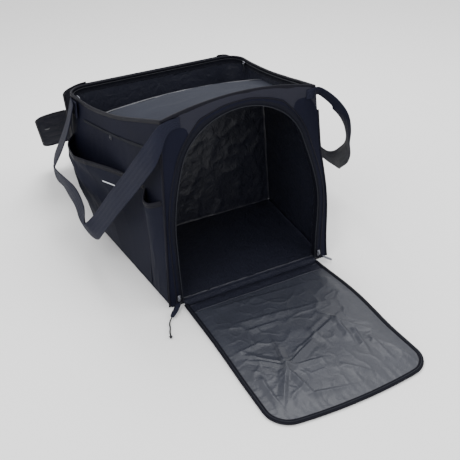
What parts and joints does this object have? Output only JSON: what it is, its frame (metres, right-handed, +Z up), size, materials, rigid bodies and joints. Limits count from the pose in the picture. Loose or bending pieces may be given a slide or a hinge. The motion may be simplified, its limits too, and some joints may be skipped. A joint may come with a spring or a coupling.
{
  "type": "ski boot bag",
  "caption": "Wedge-shaped ski boot bag with an arched zip-open boot door, rear-hinged zip lid with side wings, slip side pockets and webbing carry handles, shown open.",
  "frame": {"origin": "centre of the base's underside", "axes": "+Z up, -Y towards the front with the arched boot door, +X to the right seen from the front"},
  "size_m": [0.6944, 1.3545, 0.4559],
  "materials": {
    "shell_fabric": "dark navy-black woven polyester, matte with a slight sheen",
    "base_cloth": "coated tarpaulin cloth, matte",
    "board": "black fluted plastic board",
    "yoke_fabric": "dark grey-blue woven cloth",
    "zip_tape": "woven zip tape",
    "zip_teeth": "nylon coil",
    "binding": "ribbed edge binding",
    "grey_padding": "padded grey cloth",
    "lining": "glossy coated lining, creased",
    "grey_tape": "grey seam tape",
    "webbing": "flat woven webbing",
    "metal": "dark nickel",
    "cord": "braided cord"
  },
  "bodies": {
    "shell": {"base_panel": "base_cloth", "base_stiffener_board": "board", "left_side_wall": "shell_fabric", "right_side_wall": "shell_fabric", "rear_wall": "shell_fabric", "front_frame": "shell_fabric", "front_yoke": "yoke_fabric", "arch_zip_tape": "zip_tape", "arch_zip_teeth": "zip_teeth", "left_corner_piping": "binding", "right_corner_piping": "binding", "rim_binding": "binding", "rim_zip_tape": "zip_tape", "rim_zip_teeth": "zip_teeth", "door_hinge_tape": "binding", "lid_hinge_tape": "binding", "divider_roof": "grey_padding", "divider_wall": "grey_padding", "left_pocket": "shell_fabric", "right_pocket": "shell_fabric", "left_pocket_hem": "binding", "right_pocket_hem": "binding", "left_small_pocket": "shell_fabric", "right_small_pocket": "shell_fabric", "small_pocket_hems": "binding", "pocket_seam_tapes": "grey_tape", "handle_anchor_patches": "webbing", "press_studs": "metal"},
    "door": {"door_panel": "shell_fabric", "door_lining": "lining", "door_zip_tape": "zip_tape", "door_zip_teeth": "zip_teeth", "door_binding": "binding", "door_seam": "lining"},
    "lid": {"lid_panel": "shell_fabric", "lid_lining": "lining", "lid_zip_tape": "zip_tape", "lid_binding": "binding"},
    "left_wing": {"left_wing_panel": "shell_fabric", "left_wing_binding": "binding", "left_wing_snap": "metal"},
    "right_wing": {"right_wing_panel": "shell_fabric", "right_wing_binding": "binding", "right_wing_snap": "metal"},
    "left_handle": {"left_handle_webbing": "webbing"},
    "right_handle": {"right_handle_webbing": "webbing"},
    "left_door_slider": {"left_door_slider": "metal"},
    "right_door_slider": {"right_door_slider": "metal"},
    "left_door_pull": {"left_pull_tab": "shell_fabric", "left_pull_cord": "cord", "left_pull_knot": "cord"},
    "right_door_pull": {"right_metal_pull": "metal"},
    "left_lid_slider": {"left_lid_slider": "metal"},
    "right_lid_slider": {"right_lid_slider": "metal"},
    "left_lid_pull": {"left_lid_pull": "metal"},
    "right_lid_pull": {"right_lid_pull": "metal"}
  },
  "joints": [
    {"name": "door_hinge", "type": "hinge", "parent": "shell", "child": "door", "pos_m": [0, -0.2646, 0.003], "axis": [-1, 0, 0], "range_deg": [0, 90]},
    {"name": "lid_hinge", "type": "hinge", "parent": "shell", "child": "lid", "pos_m": [0, 0.262, 0.368], "axis": [1, 0, 0], "range_deg": [0, 211.3]},
    {"name": "left_wing_fold", "type": "hinge", "parent": "lid", "child": "left_wing", "pos_m": [-0.24248, 0.30382, 0.33349], "axis": [0.1451, 0.7689, -0.6227], "range_deg": [0, 80]},
    {"name": "right_wing_fold", "type": "hinge", "parent": "lid", "child": "right_wing", "pos_m": [0.24248, 0.30382, 0.33349], "axis": [0.1451, -0.7689, 0.6227], "range_deg": [0, 80]},
    {"name": "left_handle_swing", "type": "hinge", "parent": "shell", "child": "left_handle", "pos_m": [-0.1844, -0.256, 0.424], "axis": [-0.1276, 0.9803, -0.1508], "range_deg": [-6, 160]},
    {"name": "right_handle_swing", "type": "hinge", "parent": "shell", "child": "right_handle", "pos_m": [0.1844, -0.256, 0.424], "axis": [-0.1276, -0.9803, 0.1508], "range_deg": [-20, 146]},
    {"name": "left_door_zip", "type": "slide", "parent": "shell", "child": "left_door_slider", "axis": [0, 0, 1], "range_m": [0, 0.13]},
    {"name": "right_door_zip", "type": "slide", "parent": "shell", "child": "right_door_slider", "axis": [0, 0, 1], "range_m": [0, 0.13]},
    {"name": "left_door_pull_swing", "type": "hinge", "parent": "left_door_slider", "child": "left_door_pull", "pos_m": [-0.184, -0.27, 0.0145], "axis": [-0.6794, 0.7338, 0], "range_deg": [0, 90]},
    {"name": "right_door_pull_swing", "type": "hinge", "parent": "right_door_slider", "child": "right_door_pull", "pos_m": [0.184, -0.27, 0.0145], "axis": [-0.6139, -0.7894, 0], "range_deg": [0, 90]},
    {"name": "left_lid_zip", "type": "slide", "parent": "shell", "child": "left_lid_slider", "axis": [0.1397, -0.9797, 0.1439], "range_m": [0, 0.4]},
    {"name": "right_lid_zip", "type": "slide", "parent": "shell", "child": "right_lid_slider", "axis": [-0.1397, -0.9797, 0.1439], "range_m": [0, 0.4]},
    {"name": "right_lid_pull_swing", "type": "hinge", "parent": "right_lid_slider", "child": "right_lid_pull", "pos_m": [0.22378, 0.18902, 0.35795], "axis": [0.1397, 0.9797, -0.1439], "range_deg": [0, 80]},
    {"name": "left_lid_pull_swing", "type": "hinge", "parent": "left_lid_slider", "child": "left_lid_pull", "pos_m": [-0.22378, 0.18902, 0.35795], "axis": [0.1397, -0.9797, 0.1439], "range_deg": [0, 80]}
  ]
}
